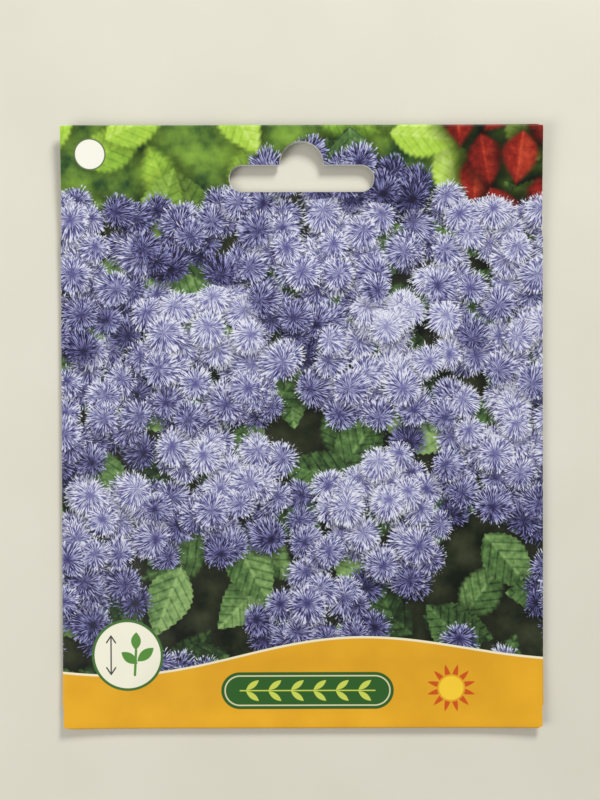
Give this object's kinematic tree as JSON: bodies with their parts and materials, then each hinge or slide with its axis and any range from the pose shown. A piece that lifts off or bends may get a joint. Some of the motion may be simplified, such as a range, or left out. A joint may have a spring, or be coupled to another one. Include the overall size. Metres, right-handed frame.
{
  "type": "seed packet",
  "caption": "Flat hanging seed packet: a folded and glued paper envelope with a euro slot through its header, holding a sealed foil sachet of fine seeds.",
  "frame": {"origin": "on the surface that the packet lies on, under the middle of its outline", "axes": "+X to the right across the printed front, +Y up the packet to its header and hang slot, +Z out of the printed front, which faces up"},
  "size_m": [0.107, 0.134, 0.0038],
  "materials": {
    "coated_paper": "satin",
    "sachet_film": "satin",
    "seed_husk": "matte"
  },
  "bodies": {
    "root": {"envelope": "coated_paper", "sachet_back_film": "sachet_film", "sachet_front_film": "sachet_film", "seeds": "seed_husk"}
  },
  "joints": []
}
